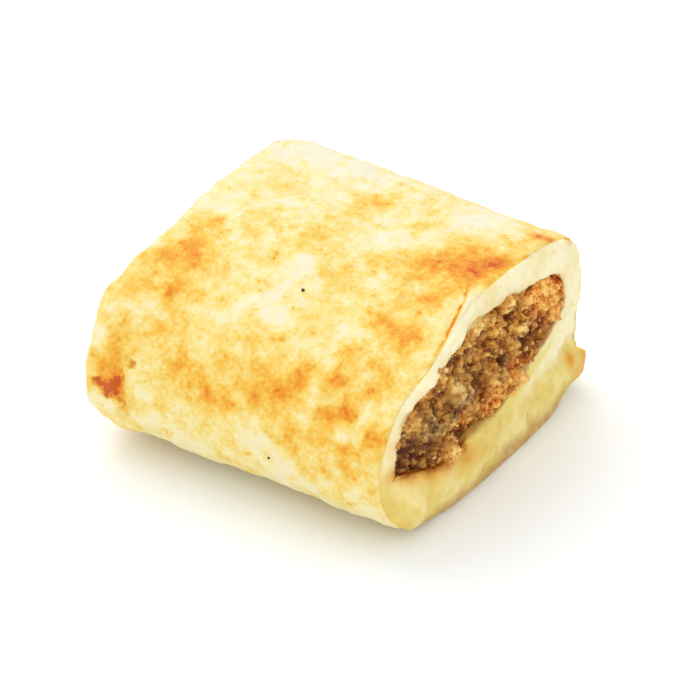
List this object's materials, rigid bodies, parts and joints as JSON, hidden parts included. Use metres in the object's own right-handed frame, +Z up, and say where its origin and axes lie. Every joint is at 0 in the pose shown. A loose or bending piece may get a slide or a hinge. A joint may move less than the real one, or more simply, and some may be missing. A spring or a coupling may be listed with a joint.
{
  "type": "sausage roll",
  "caption": "Short sausage roll portion: golden baked pastry wrapped round crumbly sausage meat, cut across at both ends, resting on its flat base.",
  "frame": {"origin": "centre of the bounding box at the level of the flat base", "axes": "+Z up; X along the roll, with +X towards the right cut end; Y across the roll, with the seam lip at the foot of the +Y side"},
  "size_m": [0.0604, 0.0642, 0.036],
  "materials": {
    "pastry": "baked dough, cream to golden brown with darker baked patches, matte with a faint sheen",
    "filling": "crumbly cooked mince, grey brown with fried orange edges and small moist glints"
  },
  "bodies": {
    "root": {"pastry": "pastry", "filling": "filling"}
  },
  "joints": []
}
